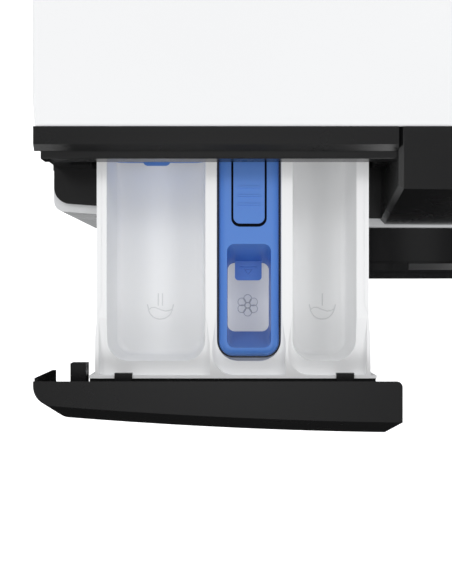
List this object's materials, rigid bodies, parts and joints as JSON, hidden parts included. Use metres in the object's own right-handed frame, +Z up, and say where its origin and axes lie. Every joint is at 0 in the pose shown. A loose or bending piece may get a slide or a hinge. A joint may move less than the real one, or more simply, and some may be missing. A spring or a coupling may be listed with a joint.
{
  "type": "front load washing machine",
  "caption": "Front load washing machine with its detergent drawer pulled out, round door, programme knob and drum hung on springs inside a white cabinet.",
  "frame": {"origin": "on the floor under the middle of the whole object with the drawer pulled out; the cabinet's middle is 67.3 mm behind it", "axes": "+X to the right seen from the front, +Y to the back, +Z up"},
  "size_m": [0.596, 0.7686, 0.848],
  "materials": {
    "white_enamel": "gloss",
    "galvanised": "satin",
    "white_laminate": "satin",
    "dark_plastic": "matt",
    "black_plastic": "matt",
    "white_plastic": "satin",
    "black_fascia": "satin",
    "dark_window": "gloss",
    "board_green": "satin",
    "grey_plastic": "matt",
    "hose_rubber": "matt",
    "zinc_steel": "satin",
    "gasket_grey": "matt",
    "tub_plastic": "matt",
    "concrete": "rough",
    "nickel_steel": "satin",
    "motor_paint": "satin",
    "stainless": "satin",
    "cast_aluminium": "cast",
    "tray_white": "satin",
    "cap_blue": "satin",
    "inlay_grey": "satin",
    "tinted_glass": "gloss",
    "clear_glass": "gloss",
    "knob_metal": "satin",
    "button_black": "satin"
  },
  "bodies": {
    "cabinet": {"left_side_panel": "white_enamel", "right_side_panel": "white_enamel", "rear_panel": "galvanised", "worktop": "white_laminate", "worktop_frame": "dark_plastic", "front_panel": "white_enamel", "base_tray": "dark_plastic", "plinth": "white_plastic", "top_braces": "galvanised", "control_fascia": "black_fascia", "display_window": "dark_window", "control_board": "board_green", "dispenser_housing": "grey_plastic", "inlet_valve": "grey_plastic", "valve_hose": "hose_rubber", "dispenser_hose": "hose_rubber", "drain_pump": "grey_plastic", "sump_hose": "hose_rubber", "drain_outlet": "grey_plastic", "levelling_feet": "black_plastic", "transit_plugs": "white_plastic", "rear_panel_screws": "zinc_steel", "cord_gland": "hose_rubber", "door_lock": "grey_plastic", "door_hinge_bracket": "zinc_steel", "door_gasket": "gasket_grey", "suspension_springs": "zinc_steel", "damper_cylinders": "dark_plastic"},
    "wash_unit": {"tub_front": "tub_plastic", "tub_rear": "tub_plastic", "front_counterweight": "concrete", "top_counterweight": "concrete", "heater": "nickel_steel", "motor_housing": "motor_paint", "drum_bearings": "nickel_steel", "damper_rods": "zinc_steel", "drive_belt": "hose_rubber"},
    "drum": {"drum_shell": "stainless", "drum_lifters": "white_plastic", "drum_spider": "cast_aluminium", "drum_shaft": "nickel_steel", "drum_pulley": "cast_aluminium"},
    "motor_rotor": {"motor_rotor": "nickel_steel"},
    "drawer": {"drawer_tub": "tray_white", "drawer_front": "black_fascia", "siphon_cap": "cap_blue"},
    "release_tab": {"release_tab": "cap_blue"},
    "liquid_flap": {"liquid_flap": "cap_blue"},
    "door": {"door_outer_ring": "black_fascia", "door_top_inlay": "inlay_grey", "door_cover_glass": "tinted_glass", "door_glass_bowl": "clear_glass", "door_inner_ring": "grey_plastic", "door_hinge_arm": "zinc_steel"},
    "door_latch": {"door_latch_hook": "white_plastic"},
    "program_knob": {"program_knob": "knob_metal"},
    "power_button": {"power_button": "button_black"},
    "start_button": {"start_button": "button_black"},
    "filter_flap": {"filter_flap": "white_plastic"},
    "filter_cap": {"filter_cap": "grey_plastic"}
  },
  "joints": [
    {"name": "drawer_slide", "type": "slide", "parent": "cabinet", "child": "drawer", "axis": [0, -1, 0], "range_m": [-0.155, 0]},
    {"name": "release_tab_press", "type": "hinge", "parent": "drawer", "child": "release_tab", "pos_m": [-0.15415, -0.18, 0.8055], "axis": [1, 0, 0], "range_deg": [0, 6], "stiffness_Nm_per_rad": 0.2, "springref_deg": -1.15},
    {"name": "liquid_flap_swing", "type": "hinge", "parent": "drawer", "child": "liquid_flap", "pos_m": [-0.2181, -0.1857, 0.804], "axis": [1, 0, 0], "range_deg": [0, 80]},
    {"name": "door_hinge", "type": "hinge", "parent": "cabinet", "child": "door", "pos_m": [-0.246, -0.2547, 0.475], "axis": [0, 0, -1], "range_deg": [0, 150]},
    {"name": "door_latch_pivot", "type": "hinge", "parent": "door", "child": "door_latch", "pos_m": [0.203, -0.2327, 0.475], "axis": [0, 0, 1], "range_deg": [0, 8], "stiffness_Nm_per_rad": 0.5, "springref_deg": -2.86},
    {"name": "program_turn", "type": "hinge", "parent": "cabinet", "child": "program_knob", "pos_m": [0.062, -0.22117, 0.791], "axis": [0.017, -0.9863, 0.1644], "continuous": true},
    {"name": "power_press", "type": "slide", "parent": "cabinet", "child": "power_button", "axis": [-0.0729, 0.9838, -0.164], "range_m": [0, 0.0015], "stiffness_N_per_m": 300, "springref_m": -0.001},
    {"name": "start_press", "type": "slide", "parent": "cabinet", "child": "start_button", "axis": [-0.0729, 0.9838, -0.164], "range_m": [0, 0.0015], "stiffness_N_per_m": 300, "springref_m": -0.001},
    {"name": "filter_flap_hinge", "type": "hinge", "parent": "cabinet", "child": "filter_flap", "pos_m": [0.18592, -0.22439, 0.028], "axis": [0.9987, 0.0517, 0], "range_deg": [0, 80]},
    {"name": "filter_cap_turn", "type": "hinge", "parent": "cabinet", "child": "filter_cap", "pos_m": [0.186, -0.1947, 0.058], "axis": [0, -1, 0], "range_deg": [0, 90]},
    {"name": "suspension", "type": "slide", "parent": "cabinet", "child": "wash_unit", "axis": [0, 0, 1], "range_m": [-0.008, 0.008], "stiffness_N_per_m": 16000, "springref_m": 0.02, "deforming": ["door_gasket", "suspension_springs", "dispenser_hose", "sump_hose"]},
    {"name": "drum_spin", "type": "hinge", "parent": "wash_unit", "child": "drum", "pos_m": [0, 0.0673, 0.475], "axis": [0, 1, 0], "continuous": true},
    {"name": "motor_spin", "type": "hinge", "parent": "wash_unit", "child": "motor_rotor", "pos_m": [0.06, 0.1323, 0.118], "axis": [0, 1, 0], "continuous": true}
  ],
  "couplings": [
    {"joint": "motor_spin", "follows": "drum_spin", "ratio": 13.636}
  ]
}
